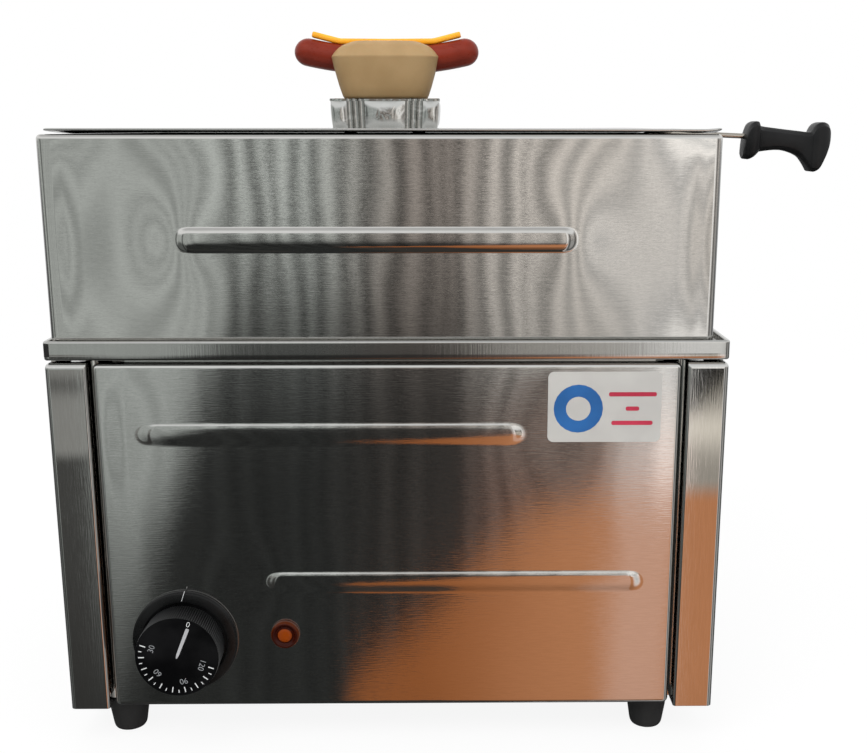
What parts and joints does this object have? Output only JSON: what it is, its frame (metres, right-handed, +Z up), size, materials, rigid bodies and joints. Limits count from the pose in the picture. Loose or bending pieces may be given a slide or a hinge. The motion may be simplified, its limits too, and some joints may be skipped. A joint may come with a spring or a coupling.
{
  "type": "hot dog steamer",
  "caption": "Counter-top hot dog steamer: folded steel water cabinet with knob and pilot lamp, loose steam chamber, wire basket with a grip, and a loose lid with a hot dog figure as its handle.",
  "frame": {"origin": "bottom centre of the whole object's box, on the plane that the feet stand on", "axes": "+X to the right seen from the front, +Y to the back, +Z up; the knob's face looks along -Y"},
  "size_m": [0.4236, 0.293, 0.3751],
  "materials": {
    "steel": "brushed stainless steel sheet",
    "wire": "bright drawn stainless steel wire",
    "polished_steel": "mirror polished stainless steel",
    "zinc": "zinc plated steel",
    "brass": "turned brass",
    "copper": "drawn copper tube",
    "black_plastic": "moulded black heat resistant plastic",
    "pale_plastic": "moulded pale plastic",
    "amber_lens": "clear amber plastic",
    "rubber": "black rubber",
    "bun": "painted resin, matt tan",
    "sausage": "painted resin, glossy red brown",
    "mustard": "painted resin, glossy yellow",
    "brown_lead": "brown insulation",
    "blue_lead": "blue insulation"
  },
  "bodies": {
    "cabinet": {"side_panel_right": "steel", "side_panel_left": "steel", "front_panel": "steel", "back_panel": "steel", "bottom_plate": "steel", "collar_frame": "steel", "water_pan": "steel", "back_screw_1": "zinc", "back_screw_2": "zinc", "back_screw_3": "zinc", "back_screw_4": "zinc", "foot_front_left": "rubber", "foot_front_right": "rubber", "foot_back_left": "rubber", "foot_back_right": "rubber", "foot_screw_front_left": "zinc", "foot_screw_front_right": "zinc", "foot_screw_back_left": "zinc", "foot_screw_back_right": "zinc", "foot_nut_front_left": "zinc", "foot_nut_front_right": "zinc", "foot_nut_back_left": "zinc", "foot_nut_back_right": "zinc", "heating_element": "zinc", "element_bushing_left": "brass", "element_bushing_right": "brass", "element_nut_left": "brass", "element_nut_right": "brass", "thermostat_body": "pale_plastic", "thermostat_nut": "zinc", "knob_bezel": "black_plastic", "thermostat_bulb": "copper", "thermostat_capillary": "copper", "bulb_clip": "steel", "pilot_lamp_lens": "amber_lens", "pilot_lamp_body": "black_plastic", "pilot_lamp_clip": "pale_plastic", "terminal_block": "pale_plastic", "lead_live": "brown_lead", "lead_neutral": "blue_lead", "cable_gland": "black_plastic", "gland_nut": "black_plastic"},
    "dial": {"knob": "black_plastic", "knob_pointer": "pale_plastic", "thermostat_shaft": "zinc"},
    "chamber": {"steam_chamber": "steel", "steam_plate": "steel"},
    "basket": {"basket": "wire", "basket_grip": "black_plastic"},
    "lid": {"lid": "steel", "handle_pedestal": "polished_steel", "bun": "bun", "sausage": "sausage", "mustard": "mustard", "pedestal_screw_left": "zinc", "pedestal_screw_right": "zinc"}
  },
  "joints": [
    {"name": "knob_turn", "type": "hinge", "parent": "cabinet", "child": "dial", "pos_m": [-0.14938, -0.1291, 0.0587], "axis": [0, 1, 0], "range_deg": [-18, 252]},
    {"name": "chamber_lift", "type": "slide", "parent": "cabinet", "child": "chamber", "axis": [0, 0, 1], "range_m": [0, 0.25]},
    {"name": "basket_lift", "type": "slide", "parent": "chamber", "child": "basket", "axis": [0, 0, 1], "range_m": [0, 0.15]},
    {"name": "lid_lift", "type": "slide", "parent": "basket", "child": "lid", "axis": [0, 0, 1], "range_m": [0, 0.2]}
  ]
}
